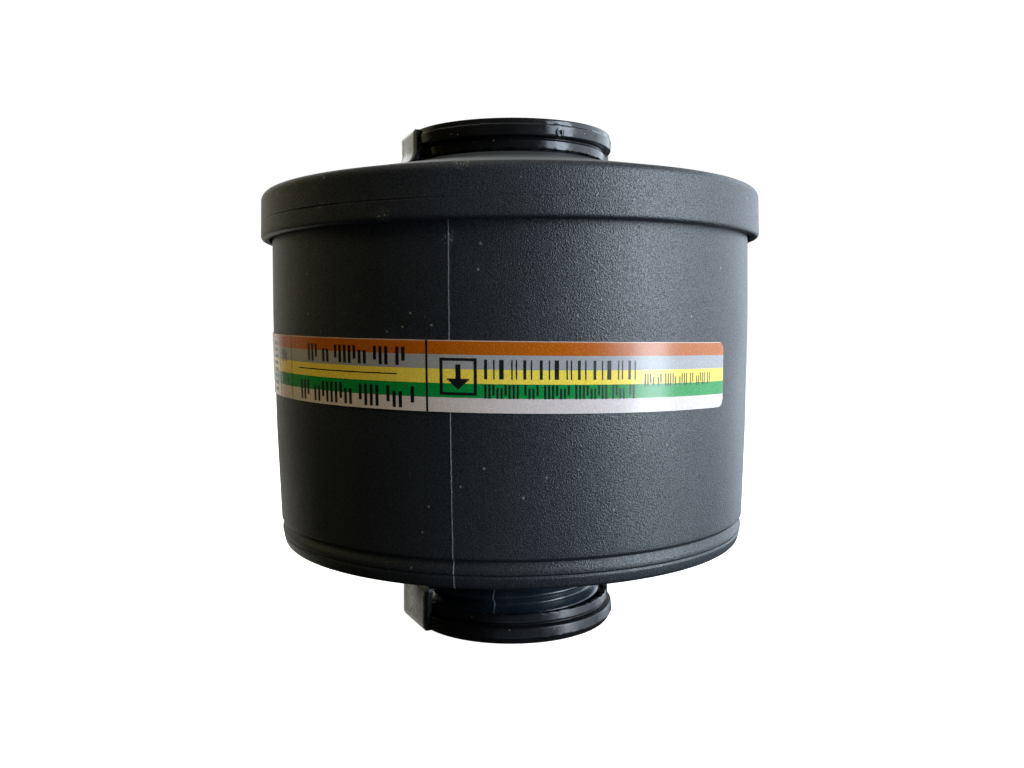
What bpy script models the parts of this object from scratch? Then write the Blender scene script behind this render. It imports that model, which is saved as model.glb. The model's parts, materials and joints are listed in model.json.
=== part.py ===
"""Combination filter canister of a full face respirator, standing on its capped outlet.

+Z is up. The origin is on the canister's axis, at the outlet cap's end face, and the label's front
faces -Y. Air enters through the inlet collar in the lid, passes the pleated particle filter and two
layers of granules, and leaves through the threaded neck. Sizes are in millimetres until they become
mesh points, which are in metres.
"""

import math

import bmesh
import bpy
from mathutils import Matrix, Vector

MM = 0.001

# Driving dimensions of the housing
HEIGHT = 108.8
RIM_RADIUS = 55.5
NECK_THREAD_RADIUS = 19.9
THREAD_PITCH = 25.4 / 7
THREAD_DEPTH = 1.7
WALL = 1.9
FLOOR = 2.1
GAP = 0.3

# Cup: a tapered wall between its shoulder and its rim
CUP_BOTTOM_Z = 19.5
CUP_BOTTOM_RADIUS = 50.8
SHOULDER_Z = 25.1
SHOULDER_RADIUS = 51.3
CUP_TOP_Z = 90.4
WAIST_Z = 45.0
WAIST_RADIUS = 52.37
SWELL_Z = 68.0
SWELL_RADIUS = 53.0
CUP_TOP_RADIUS = 53.12
NECK_END_Z = 2.2
NECK_BORE_RADIUS = 16.0
SCREEN_SEAT_RADIUS = 19.0
SCREEN_SEAT_DEPTH = 1.7

# Lid: skirt outside the cup, low cone, inlet collar
SKIRT_BOTTOM_Z = 84.6
LID_SHOULDER_Z = 94.7
SKIRT_INNER_RADIUS = 53.7
LID_THICKNESS = 2.0
COLLAR_RADIUS = 19.85
COLLAR_BORE_RADIUS = 16.4
COLLAR_FOOT_Z = 102.1
COLLAR_FOOT_RADIUS = 22.4
CONE_TOP_Z = 100.8
CONE_TOP_RADIUS = 25.5

# Caps: one soft cap for each end, alike but for the length of their tabs. EAR_SHIFTS holds how far
# each of the two opposite tabs sits to the side of the cap's middle.
CAP_DEPTH = 6.0
CAP_PLATE = 1.0
CAP_BORE_RADIUS = 20.15
CAP_MOUTH_RADIUS = 21.7
CAP_GROOVE_RADIUS = 21.05
CAP_FLANGE_RADIUS = 23.2
CAP_WAD = 0.8
CAP_WAD_RADIUS = 19.8
EAR_WIDTH = 13.4
EAR_THICKNESS = 1.5
EAR_OUTER_FACE = 23.7
EAR_SHIFTS = (1.4, -3.1)
EAR_ROOT_HEIGHT = 2.9
OUTLET_EAR_LENGTH = 9.3
INLET_EAR_LENGTH = 6.5
EAR_ANGLE = math.radians(200)

# Label: a strip round the front that falls a little to its right end
LABEL_WIDTH = 12.6
LABEL_MIDDLE_Z = 57.2
LABEL_THICKNESS = 0.2
LABEL_RIGHT_END = math.radians(51.4)
LABEL_SWEEP = math.radians(232)
LABEL_FALL = 0.0184

# Filter stack inside the cup, from the floor up
BED_RADIUS = 48.4
STACK_GAP = 0.2
SUPPORT_GRID_HEIGHT = 2.5
FELT_HEIGHT = 1.6
VAPOUR_LAYER_HEIGHT = 17.0
FLEECE_HEIGHT = 1.0
AMMONIA_LAYER_HEIGHT = 13.0
PRESSURE_GRID_HEIGHT = 2.2
SPRING_HEIGHT = 4.0
SPRING_THICKNESS = 0.7
SPRING_INNER_RADIUS = 44.6
SPRING_OUTER_RADIUS = 48.0
SPRING_WAVES = 4
SPACER_HEIGHT = 2.2
FRAME_HEIGHT = 19.8
FRAME_RADIUS = 50.1
FRAME_INNER_RADIUS = 46.8
PLEAT_RADIUS = 44.6
PLEAT_PITCH = 4.9
PLEAT_TIP = 1.0
PAPER = 0.5

OUTER_SEGMENTS = 48
INNER_SEGMENTS = 36
THREAD_SEGMENTS = 24
SPRING_SEGMENTS = 64
# A corner radius under this is made as a plain bevel, a larger one as an arc in two steps
SMALL_RADIUS = 1.0

CHARCOAL = ("charcoal_plastic", (0.050, 0.057, 0.063), 0.55)
SOFT_BLACK = ("soft_black", (0.012, 0.012, 0.013), 0.35)
LABEL_FILM = ("label_film", (0.62, 0.60, 0.50), 0.30)
SEAL_RUBBER = ("seal_rubber", (0.03, 0.03, 0.03), 0.70)
WAD_FOAM = ("wad_foam", (0.70, 0.70, 0.68), 0.80)
GRID_PLASTIC = ("grid_plastic", (0.60, 0.60, 0.58), 0.50)
FILTER_PAPER = ("filter_paper", (0.80, 0.80, 0.76), 0.90)
POTTING_RESIN = ("potting_resin", (0.66, 0.55, 0.34), 0.35)
FELT = ("felt", (0.72, 0.72, 0.70), 0.95)
GRANULES = ("granules", (0.02, 0.02, 0.02), 0.85)
SPRING_STEEL = ("spring_steel", (0.45, 0.45, 0.46), 0.35)


def cup_radius(z):
    """Outside radius of the cup's wall, which tapers more towards its foot, at a height in mm."""
    rings = (
        (SHOULDER_Z, SHOULDER_RADIUS),
        (WAIST_Z, WAIST_RADIUS),
        (SWELL_Z, SWELL_RADIUS),
        (CUP_TOP_Z, CUP_TOP_RADIUS),
    )
    for (low_z, low_radius), (high_z, high_radius) in zip(rings, rings[1:]):
        if z <= high_z or high_z == CUP_TOP_Z:
            return low_radius + (high_radius - low_radius) * (z - low_z) / (high_z - low_z)


def clear_scene():
    for obj in list(bpy.data.objects):
        bpy.data.objects.remove(obj)


def new_collection(name):
    collection = bpy.data.collections.new(name)
    bpy.context.scene.collection.children.link(collection)
    return collection


def material(recipe):
    name, colour, roughness = recipe
    found = bpy.data.materials.get(name)
    if found:
        return found
    made = bpy.data.materials.new(name)
    made.use_nodes = True
    shader = made.node_tree.nodes["Principled BSDF"]
    shader.inputs["Base Color"].default_value = (*colour, 1)
    shader.inputs["Roughness"].default_value = roughness
    shader.inputs["Metallic"].default_value = 1.0 if name == "spring_steel" else 0.0
    return made


def add_part(name, mesh, recipe):
    part = bpy.data.objects.new(name, mesh)
    canister.objects.link(part)
    mesh.materials.append(material(recipe))
    return part


def add_tool(name, mesh):
    """A cutter, or a shape that a Boolean joins to a part."""
    tool = bpy.data.objects.new(name, mesh)
    tools.objects.link(tool)
    tool.hide_render = True
    tool.display_type = "WIRE"
    return tool


def rounded(corners):
    """Points through corners (r, z), where a third value rounds the corner with an arc of that radius."""
    points = []
    for index, corner in enumerate(corners):
        here = Vector(corner[:2])
        if len(corner) == 2:
            points.append(here)
            continue
        back = (Vector(corners[index - 1][:2]) - here).normalized()
        ahead = (Vector(corners[(index + 1) % len(corners)][:2]) - here).normalized()
        half = back.angle(ahead) / 2
        centre = here + (back + ahead).normalized() * corner[2] / math.sin(half)
        start = here + back * corner[2] / math.tan(half) - centre
        end = here + ahead * corner[2] / math.tan(half) - centre
        first = math.atan2(start.y, start.x)
        turn = (math.atan2(end.y, end.x) - first + math.pi) % math.tau - math.pi
        steps = 1 if corner[2] < SMALL_RADIUS else 2
        for step in range(steps + 1):
            angle = first + turn * step / steps
            points.append(centre + corner[2] * Vector((math.cos(angle), math.sin(angle))))
    return points


def profile_mesh(name, points):
    """An outline in the XZ plane: open where it starts on the axis, closed elsewhere."""
    edges = [(i, i + 1) for i in range(len(points) - 1)]
    if points[0].x > 0:
        edges.append((len(points) - 1, 0))
    mesh = bpy.data.meshes.new(name)
    mesh.from_pydata([(p.x * MM, 0, p.y * MM) for p in points], edges, [])
    return mesh


def add_screw(obj, segments, sweep=math.tau, rise=0.0):
    screw = obj.modifiers.new("Turn", "SCREW")
    screw.axis = "Z"
    screw.angle = sweep
    screw.screw_offset = rise * MM
    screw.steps = segments
    screw.render_steps = segments
    screw.use_merge_vertices = sweep == math.tau and rise == 0
    screw.merge_threshold = 0.01 * MM


def turned(name, corners, recipe, segments=INNER_SEGMENTS):
    """A body of revolution; its outline runs down the outer side."""
    part = add_part(name, profile_mesh(name, rounded(corners)), recipe)
    add_screw(part, segments)
    return part


def disc(name, radius, bottom, height, recipe):
    top = bottom + height
    return turned(name, [(0, top), (radius, top), (radius, bottom), (0, bottom)], recipe)


def ring(name, inner, outer, bottom, height, recipe, segments=INNER_SEGMENTS):
    top = bottom + height
    return turned(name, [(inner, top), (outer, top), (outer, bottom), (inner, bottom)], recipe, segments)


def settle(obj):
    """Applies the object's modifiers, closes its open ends and faces it outwards."""
    graph = bpy.context.evaluated_depsgraph_get()
    mesh = bpy.data.meshes.new_from_object(obj.evaluated_get(graph))
    obj.modifiers.clear()
    obj.data = mesh
    work = bmesh.new()
    work.from_mesh(mesh)
    bmesh.ops.holes_fill(work, edges=[edge for edge in work.edges if edge.is_boundary])
    bmesh.ops.recalc_face_normals(work, faces=work.faces)
    work.to_mesh(mesh)
    work.free()


def boolean(part, tool, operation):
    modifier = part.modifiers.new(f"{operation} {tool.name}", "BOOLEAN")
    modifier.operation = operation
    modifier.object = tool


def boxes(name, placed):
    """One mesh of closed boxes, each a (matrix in mm, size in mm)."""
    work = bmesh.new()
    for matrix, size in placed:
        scaled = Matrix.Scale(MM, 4) @ matrix @ Matrix.Diagonal((*size, 1))
        bmesh.ops.create_cube(work, size=1, matrix=scaled)
    mesh = bpy.data.meshes.new(name)
    work.to_mesh(mesh)
    work.free()
    return add_tool(name, mesh)


def canister_body():
    """Cup with a grooved foot, and the threaded outlet neck, in one moulding."""
    root = NECK_THREAD_RADIUS - THREAD_DEPTH
    floor_top = CUP_BOTTOM_Z + FLOOR
    body = turned(
        "canister_body",
        [
            (CUP_TOP_RADIUS - WALL, CUP_TOP_Z),
            (CUP_TOP_RADIUS, CUP_TOP_Z),
            (SWELL_RADIUS, SWELL_Z),
            (WAIST_RADIUS, WAIST_Z),
            (SHOULDER_RADIUS, SHOULDER_Z, 0.5),
            (SHOULDER_RADIUS - 0.7, SHOULDER_Z - 0.7),
            (SHOULDER_RADIUS - 0.25, SHOULDER_Z - 1.5),
            (SHOULDER_RADIUS - 0.2, SHOULDER_Z - 2.7),
            (CUP_BOTTOM_RADIUS, CUP_BOTTOM_Z + 2.55),
            (CUP_BOTTOM_RADIUS + 0.15, CUP_BOTTOM_Z + 2.2),
            (CUP_BOTTOM_RADIUS, CUP_BOTTOM_Z, 1.7),
            (root, CUP_BOTTOM_Z, 2.2),
            (root, NECK_END_Z, 0.6),
            (NECK_BORE_RADIUS, NECK_END_Z),
            (NECK_BORE_RADIUS, floor_top - SCREEN_SEAT_DEPTH),
            (SCREEN_SEAT_RADIUS, floor_top - SCREEN_SEAT_DEPTH),
            (SCREEN_SEAT_RADIUS, floor_top),
            (cup_radius(floor_top) - WALL - 0.2, floor_top, 1.2),
        ],
        CHARCOAL,
        OUTER_SEGMENTS,
    )
    boolean(body, neck_thread(root), "UNION")
    return body


def neck_thread(root):
    """Right-hand knuckle thread: a cosine crest swept up a helix, with its base sunk into the neck."""
    half_width = 0.43
    crest_steps = 4
    middle = root + THREAD_DEPTH / 2
    points = []
    for step in range(crest_steps + 1):
        turn = half_width * (1 - 2 * step / crest_steps)
        radius = middle + THREAD_DEPTH / 2 * math.cos(math.tau * turn)
        points.append(Vector((radius, turn * THREAD_PITCH)))
    sunk = root - 1.0
    points.append(Vector((sunk, points[-1].y)))
    points.append(Vector((sunk, points[0].y)))
    start_z = NECK_END_Z + 2.2
    end_z = CUP_BOTTOM_Z - 2.6
    turns = (end_z - start_z) / THREAD_PITCH
    for point in points:
        point.y += start_z
    thread = add_tool("neck_thread", profile_mesh("neck_thread", points))
    add_screw(thread, round(turns * THREAD_SEGMENTS), turns * math.tau, turns * THREAD_PITCH)
    settle(thread)
    return thread


def canister_lid():
    """Skirt, cone and inlet collar in one moulding."""
    under_collar = COLLAR_FOOT_Z - LID_THICKNESS - 0.8
    turned(
        "canister_lid",
        [
            (COLLAR_BORE_RADIUS, HEIGHT - CAP_PLATE - CAP_WAD - 2 * GAP),
            (COLLAR_RADIUS, HEIGHT - CAP_PLATE - CAP_WAD - 2 * GAP, 0.5),
            (COLLAR_RADIUS, COLLAR_FOOT_Z + 0.1, 0.3),
            (COLLAR_FOOT_RADIUS, COLLAR_FOOT_Z),
            (CONE_TOP_RADIUS, CONE_TOP_Z, 3.0),
            (RIM_RADIUS, LID_SHOULDER_Z - 0.2, 1.6),
            (RIM_RADIUS, SKIRT_BOTTOM_Z, 0.9),
            (SKIRT_INNER_RADIUS, SKIRT_BOTTOM_Z, 0.3),
            (SKIRT_INNER_RADIUS, LID_SHOULDER_Z - LID_THICKNESS),
            (CONE_TOP_RADIUS, CONE_TOP_Z - LID_THICKNESS),
            (COLLAR_FOOT_RADIUS - 1.5, under_collar),
            (COLLAR_BORE_RADIUS, under_collar),
        ],
        CHARCOAL,
        OUTER_SEGMENTS,
    )


def cap(name, end_z, inward, ear_length):
    """Soft cap: plate, flange band, groove and mouth band, with two pull tabs that stand off to one side.

    end_z is its end face, and inward is +1 where the mouth is above that face, -1 where it is below.
    """
    outline = [
        (0, CAP_PLATE),
        (CAP_BORE_RADIUS, CAP_PLATE, 0.3),
        (CAP_BORE_RADIUS, CAP_DEPTH),
        (CAP_MOUTH_RADIUS, CAP_DEPTH, 0.3),
        (CAP_MOUTH_RADIUS, 4.2),
        (CAP_GROOVE_RADIUS, 3.7),
        (CAP_FLANGE_RADIUS, 3.1, 0.4),
        (CAP_FLANGE_RADIUS, 0.9),
        (CAP_FLANGE_RADIUS - 1.2, 0, 0.5),
        (0, 0),
    ]
    corners = [(c[0], end_z + inward * c[1], *c[2:]) for c in outline]
    if inward < 0:
        corners.reverse()
    part = turned(name, corners, SOFT_BLACK, INNER_SEGMENTS)
    for index, shift in enumerate(EAR_SHIFTS):
        side = EAR_ANGLE + index * math.pi
        spin = Matrix.Rotation(side, 4, "Z")
        tab_middle = (EAR_OUTER_FACE - EAR_THICKNESS / 2, -shift, end_z + inward * (0.4 + ear_length) / 2)
        tab = boxes(
            f"{name}_tab_{index}",
            [(spin @ Matrix.Translation(tab_middle), (EAR_THICKNESS, EAR_WIDTH, ear_length - 0.4))],
        )
        bevel = tab.modifiers.new("Soft edges", "BEVEL")
        bevel.width = 0.4 * MM
        bevel.segments = 1
        root_inner = CAP_BORE_RADIUS + 0.4
        root_outer = EAR_OUTER_FACE - EAR_THICKNESS / 2
        root_z = end_z + inward * (0.5 + EAR_ROOT_HEIGHT / 2)
        root_middle = ((root_inner + root_outer) / 2, -shift, root_z)
        root = boxes(
            f"{name}_tab_root_{index}",
            [
                (
                    spin @ Matrix.Translation(root_middle),
                    (root_outer - root_inner, EAR_WIDTH - 1.2, EAR_ROOT_HEIGHT),
                )
            ],
        )
        boolean(part, root, "UNION")
        boolean(part, tab, "UNION")


def identification_label():
    """Thin strip that follows the cup's taper, falling towards its right end."""
    half = LABEL_WIDTH / 2
    arc = LABEL_SWEEP * cup_radius(LABEL_MIDDLE_Z)
    start_z = LABEL_MIDDLE_Z + (LABEL_SWEEP - LABEL_RIGHT_END) / LABEL_SWEEP * LABEL_FALL * arc
    inner = [Vector((cup_radius(LABEL_MIDDLE_Z + h) + GAP, start_z + h)) for h in (-half, half)]
    outer = [Vector((p.x + LABEL_THICKNESS, p.y)) for p in reversed(inner)]
    label = add_part(
        "identification_label", profile_mesh("identification_label", inner + outer), LABEL_FILM
    )
    add_screw(label, 48, LABEL_SWEEP, -LABEL_FALL * arc)
    settle(label)
    # The sweep starts at +X. Its far end belongs LABEL_RIGHT_END to the right of the front, -Y.
    label.data.transform(Matrix.Rotation(-math.pi / 2 + LABEL_RIGHT_END - LABEL_SWEEP, 4, "Z"))


def slotted_disc(name, radius, bottom, height, slots, recipe):
    """A plate with radial slots; each row of slots is (inner radius, outer radius, width, count)."""
    plate = disc(name, radius, bottom, height, recipe)
    placed = []
    for inner, outer, width, count in slots:
        for index in range(count):
            spin = Matrix.Rotation(math.tau * (index + 0.5) / count, 4, "Z")
            middle = Matrix.Translation(((inner + outer) / 2, 0, bottom + height / 2))
            placed.append((spin @ middle, (outer - inner, width, height + 2)))
    boolean(plate, boxes(f"{name}_slots", placed), "DIFFERENCE")


def wave_spring(bottom):
    """Flat ring that undulates SPRING_WAVES times."""
    low_face = bottom + (SPRING_HEIGHT - SPRING_THICKNESS) / 2
    spring = ring(
        "pressure_spring",
        SPRING_INNER_RADIUS,
        SPRING_OUTER_RADIUS,
        low_face,
        SPRING_THICKNESS,
        SPRING_STEEL,
        SPRING_SEGMENTS,
    )
    settle(spring)
    rise = (SPRING_HEIGHT - SPRING_THICKNESS) / 2 * MM
    for vertex in spring.data.vertices:
        vertex.co.z += rise * math.sin(SPRING_WAVES * math.atan2(vertex.co.y, vertex.co.x))


def pleat_pack(bottom, height):
    """Folded paper, cut round: a strip whose width follows the circle, given its thickness by Solidify."""
    reach = PLEAT_RADIUS - 2 * PAPER
    run = PLEAT_PITCH / 2
    half_count = int(reach // run)
    points = []
    for fold in range(-half_count, half_count):
        level = bottom + PAPER / 2 if fold % 2 else bottom + height - PAPER / 2
        points += [(fold * run, level), (fold * run + PLEAT_TIP, level)]
    work = bmesh.new()
    bmesh.ops.create_grid(work, x_segments=len(points) - 1, y_segments=1, size=1)
    for vertex in work.verts:
        x, z = points[round((vertex.co.x + 1) / 2 * (len(points) - 1))]
        x += (run - PLEAT_TIP) / 2
        half_length = math.sqrt(reach**2 - x**2)
        vertex.co = Vector((x, math.copysign(half_length, vertex.co.y), z)) * MM
    mesh = bpy.data.meshes.new("particle_filter_pleats")
    work.to_mesh(mesh)
    work.free()
    pleats = add_part("particle_filter_pleats", mesh, FILTER_PAPER)
    paper = pleats.modifiers.new("Paper", "SOLIDIFY")
    paper.thickness = PAPER * MM
    paper.offset = 0
    paper.use_even_offset = True


def particle_filter(bottom):
    """Frame with an inner ledge, resin ring, and the pleat pack inside them."""
    top = bottom + FRAME_HEIGHT
    ledge = bottom + 1.5
    turned(
        "particle_filter_frame",
        [
            (FRAME_INNER_RADIUS, top),
            (FRAME_RADIUS, top),
            (FRAME_RADIUS, bottom),
            (FRAME_INNER_RADIUS - 3.0, bottom),
            (FRAME_INNER_RADIUS - 3.0, ledge),
            (FRAME_INNER_RADIUS, ledge),
        ],
        GRID_PLASTIC,
    )
    pack_height = FRAME_HEIGHT - 1.5 - 2 * GAP
    ring(
        "particle_filter_potting",
        PLEAT_RADIUS + GAP,
        FRAME_INNER_RADIUS - GAP,
        ledge + GAP,
        pack_height,
        POTTING_RESIN,
    )
    pleat_pack(ledge + GAP, pack_height)


def filter_stack():
    """Everything inside the cup, each piece a small gap above the one below."""
    z = CUP_BOTTOM_Z + FLOOR + GAP
    slotted_disc(
        "support_grid",
        BED_RADIUS,
        z,
        SUPPORT_GRID_HEIGHT,
        [(5, 18, 1.6, 8), (21, 45, 3.0, 16)],
        GRID_PLASTIC,
    )
    z += SUPPORT_GRID_HEIGHT + STACK_GAP
    layers = (
        ("lower_felt_pad", FELT_HEIGHT, FELT),
        ("carbon_layer_vapour", VAPOUR_LAYER_HEIGHT, GRANULES),
        ("separator_fleece", FLEECE_HEIGHT, FELT),
        ("carbon_layer_ammonia", AMMONIA_LAYER_HEIGHT, GRANULES),
        ("upper_felt_pad", FELT_HEIGHT, FELT),
    )
    for name, height, recipe in layers:
        disc(name, BED_RADIUS, z, height, recipe)
        z += height + STACK_GAP
    slotted_disc(
        "pressure_grid",
        BED_RADIUS,
        z,
        PRESSURE_GRID_HEIGHT,
        [(4, 17, 1.8, 8), (20, 42, 3.2, 16)],
        GRID_PLASTIC,
    )
    z += PRESSURE_GRID_HEIGHT + STACK_GAP
    wave_spring(z)
    z += SPRING_HEIGHT + STACK_GAP
    ring("spacer_ring", 43.5, FRAME_RADIUS - 0.3, z, SPACER_HEIGHT, GRID_PLASTIC)
    z += SPACER_HEIGHT + STACK_GAP
    particle_filter(z)
    z += FRAME_HEIGHT + STACK_GAP
    ring("particle_filter_gasket", FRAME_INNER_RADIUS, FRAME_RADIUS - 0.4, z, 1.4, SEAL_RUBBER)


def seals_and_screens():
    rim_top = CUP_TOP_Z + GAP
    ring(
        "lid_seal_ring",
        CUP_TOP_RADIUS - WALL + 0.1,
        CUP_TOP_RADIUS - 0.1,
        rim_top,
        LID_SHOULDER_Z - LID_THICKNESS - rim_top - GAP,
        SEAL_RUBBER,
        OUTER_SEGMENTS,
    )
    disc("inlet_cap_wad", CAP_WAD_RADIUS, HEIGHT - CAP_PLATE - GAP - CAP_WAD, CAP_WAD, WAD_FOAM)
    disc("outlet_cap_wad", CAP_WAD_RADIUS, CAP_PLATE + GAP, CAP_WAD, WAD_FOAM)
    slotted_disc(
        "inlet_grid",
        COLLAR_BORE_RADIUS - GAP,
        COLLAR_FOOT_Z - 2.6,
        1.4,
        [(3.5, 14.5, 1.7, 12)],
        GRID_PLASTIC,
    )
    slotted_disc(
        "outlet_screen",
        SCREEN_SEAT_RADIUS - GAP,
        CUP_BOTTOM_Z + FLOOR - SCREEN_SEAT_DEPTH + GAP,
        1.2,
        [(2.5, 8.0, 1.2, 6), (9.5, 15.0, 1.4, 16)],
        GRID_PLASTIC,
    )


clear_scene()
canister = new_collection("filter_canister")
tools = new_collection("tools")
canister_body()
canister_lid()
cap("inlet_cap", HEIGHT, -1, INLET_EAR_LENGTH)
cap("outlet_cap", 0, 1, OUTLET_EAR_LENGTH)
identification_label()
filter_stack()
seals_and_screens()
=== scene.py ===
"""Looks of the respirator's filter canister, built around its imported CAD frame.

The housing, caps and label are fine meshes that replace their faceted CAD nodes; the filter stack
inside keeps its CAD solids. Sizes are in millimetres until they become mesh points, which are in
metres; only the stage's panels, backdrop and floor are given in metres. Angles run counter-clockwise
from +X seen from above, and the front faces -Y.
"""

import json
import math

import bmesh
import bpy
import numpy as np
from mathutils import Matrix, Vector, noise


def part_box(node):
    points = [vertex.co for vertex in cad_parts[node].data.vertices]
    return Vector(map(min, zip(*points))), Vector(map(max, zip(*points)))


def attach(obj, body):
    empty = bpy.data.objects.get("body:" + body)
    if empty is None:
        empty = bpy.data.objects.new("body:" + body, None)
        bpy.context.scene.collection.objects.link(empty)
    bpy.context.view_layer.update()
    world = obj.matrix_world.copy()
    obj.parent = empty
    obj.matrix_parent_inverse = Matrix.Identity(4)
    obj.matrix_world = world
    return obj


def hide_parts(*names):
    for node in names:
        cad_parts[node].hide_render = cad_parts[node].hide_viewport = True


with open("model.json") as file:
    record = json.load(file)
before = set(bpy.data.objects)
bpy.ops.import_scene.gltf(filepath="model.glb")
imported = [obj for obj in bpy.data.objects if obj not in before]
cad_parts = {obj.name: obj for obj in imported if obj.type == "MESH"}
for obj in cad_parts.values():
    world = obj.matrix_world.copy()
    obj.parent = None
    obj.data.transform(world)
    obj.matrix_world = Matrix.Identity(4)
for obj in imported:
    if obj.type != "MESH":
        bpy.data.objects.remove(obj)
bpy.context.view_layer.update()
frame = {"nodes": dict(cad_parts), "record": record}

MM = 0.001
FRONT = -math.pi / 2

# Sizes read from the frame
body_low, body_high = (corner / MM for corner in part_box("canister_body"))
lid_low, lid_high = (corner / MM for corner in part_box("canister_lid"))
HEIGHT = (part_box("inlet_cap")[1] / MM).z
RIM_RADIUS = lid_high.x
NECK_END_Z = body_low.z
CUP_TOP_Z = body_high.z
SKIRT_BOTTOM_Z = lid_low.z
COLLAR_TOP_Z = lid_high.z

# Sizes of the cup and its neck
CUP_BOTTOM_Z = 19.5
CUP_BOTTOM_RADIUS = 50.85
SHOULDER_Z = 25.1
SHOULDER_RADIUS = 51.4
WAIST_Z = 45.0
WAIST_RADIUS = 52.37
SWELL_Z = 68.0
SWELL_RADIUS = 53.0
CUP_TOP_RADIUS = 53.12
WALL = 1.9
FLOOR = 2.1
NECK_CREST_RADIUS = 19.9
THREAD_PITCH = 25.4 / 7
THREAD_DEPTH = 1.5
THREAD_PHASE_Z = 2.75  # a crest crosses +X at this height
NECK_BORE_RADIUS = 16.0
SCREEN_SEAT_RADIUS = 19.0
SCREEN_SEAT_DEPTH = 1.7
PARTING_ANGLE = FRONT + math.radians(-11.7)

# Sizes of the lid
LID_SHOULDER_Z = 94.7
SKIRT_INNER_RADIUS = 53.7
LID_THICKNESS = 2.0
COLLAR_RADIUS = 19.85
COLLAR_BORE_RADIUS = 16.4
COLLAR_FOOT_Z = 102.1
COLLAR_FOOT_RADIUS = 22.3
CONE_TOP_Z = 100.8
CONE_TOP_RADIUS = 25.5
WITNESS_Z = 88.6  # a thin mould line round the skirt

# Sizes of the label
LABEL_WIDTH = 12.6
LABEL_MIDDLE_Z = 57.2
LABEL_LIFT = 0.12
LABEL_THICKNESS = 0.12
LABEL_CORNER = 1.8
LABEL_RIGHT_END = math.radians(51.4)
LABEL_SWEEP = math.radians(232)
LABEL_FALL = 0.0184  # drop for each mm to the right, because it was stuck on a little askew


def cup_radius(z):
    """Outside radius of the cup's wall, which tapers more towards its foot."""
    heights = (SHOULDER_Z, WAIST_Z, SWELL_Z, CUP_TOP_Z)
    return np.interp(z, heights, (SHOULDER_RADIUS, WAIST_RADIUS, SWELL_RADIUS, CUP_TOP_RADIUS))


# ---------------------------------------------------------------- mesh helpers


def rounded(corners, chord=0.25):
    """Points through corners (r, z), where a third value rounds the corner with an arc of that radius."""
    points = []
    for index, corner in enumerate(corners):
        here = Vector(corner[:2])
        if len(corner) == 2:
            points.append(here)
            continue
        back = (Vector(corners[index - 1][:2]) - here).normalized()
        ahead = (Vector(corners[(index + 1) % len(corners)][:2]) - here).normalized()
        half = back.angle(ahead) / 2
        centre = here + (back + ahead).normalized() * corner[2] / math.sin(half)
        start = here + back * corner[2] / math.tan(half) - centre
        end = here + ahead * corner[2] / math.tan(half) - centre
        first = math.atan2(start.y, start.x)
        turn = (math.atan2(end.y, end.x) - first + math.pi) % math.tau - math.pi
        steps = max(3, min(16, math.ceil(abs(turn) * corner[2] / chord)))
        for step in range(steps + 1):
            angle = first + turn * step / steps
            points.append(centre + corner[2] * Vector((math.cos(angle), math.sin(angle))))
    return points


def densified(points, closed, spacing):
    """The same outline with points added so that no stretch is longer than spacing(r, z)."""
    result = []
    last = len(points) if closed else len(points) - 1
    for index in range(last):
        a, b = points[index], points[(index + 1) % len(points)]
        middle = (a + b) / 2
        parts = max(1, math.ceil((b - a).length / spacing(middle.x, middle.y)))
        result += [a.lerp(b, step / parts) for step in range(parts)]
    if not closed:
        result.append(points[-1])
    return np.array([(p.x, p.y) for p in result])


def turning_angles(count, seams=()):
    """Evenly spaced angles, with close ones added at each mould seam."""
    near = np.radians([-1.0, -0.5, -0.25, -0.12, 0.0, 0.12, 0.25, 0.5, 1.0])
    angles = np.linspace(0, math.tau, count, endpoint=False)
    for seam in seams:
        apart = np.abs((angles - seam + math.pi) % math.tau - math.pi)
        angles = np.concatenate([angles[apart > math.radians(1.2)], (seam + near) % math.tau])
    return np.sort(angles)


def turned(name, outline, angles, relief=None):
    """A body of revolution whose closed outline runs down its outer side.

    relief(r, z, angle) gives how far each point moves along the outline's outward normal, in mm.
    """
    r, z = outline[:, 0:1], outline[:, 1:2]
    along = np.roll(outline, -1, axis=0) - np.roll(outline, 1, axis=0)
    normal = np.stack([-along[:, 1], along[:, 0]], axis=1)
    normal /= np.maximum(np.linalg.norm(normal, axis=1, keepdims=True), 1e-9)
    grid_r = r + np.zeros((1, len(angles)))
    grid_z = z + np.zeros((1, len(angles)))
    if relief:
        move = relief(grid_r, grid_z, angles[None, :] + np.zeros_like(grid_r))
        grid_r = grid_r + normal[:, 0:1] * move
        grid_z = grid_z + normal[:, 1:2] * move
    points = np.stack([grid_r * np.cos(angles), grid_r * np.sin(angles), grid_z], axis=2).reshape(-1, 3)
    rows, columns = grid_r.shape
    row, column = np.meshgrid(np.arange(rows), np.arange(columns), indexing="ij")
    next_row, next_column = (row + 1) % rows, (column + 1) % columns
    quads = np.stack(
        [
            row * columns + column,
            next_row * columns + column,
            next_row * columns + next_column,
            row * columns + next_column,
        ],
        axis=2,
    ).reshape(-1, 4)
    mesh = bpy.data.meshes.new(name)
    mesh.from_pydata((points * MM).tolist(), [], quads.tolist())
    work = bmesh.new()
    work.from_mesh(mesh)
    bmesh.ops.remove_doubles(work, verts=work.verts, dist=1e-7)
    bmesh.ops.recalc_face_normals(work, faces=work.faces)
    work.to_mesh(mesh)
    work.free()
    return add_piece(name, mesh)


def add_piece(name, mesh):
    """Puts a mesh in the scene as a smooth-shaded object."""
    piece = bpy.data.objects.new(name, mesh)
    bpy.context.scene.collection.objects.link(piece)
    mesh.shade_smooth()
    return piece


def sharpen(piece, degrees):
    """Keeps the edges that bend more than this sharp."""
    piece.data.set_sharp_from_angle(angle=math.radians(degrees))


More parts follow.
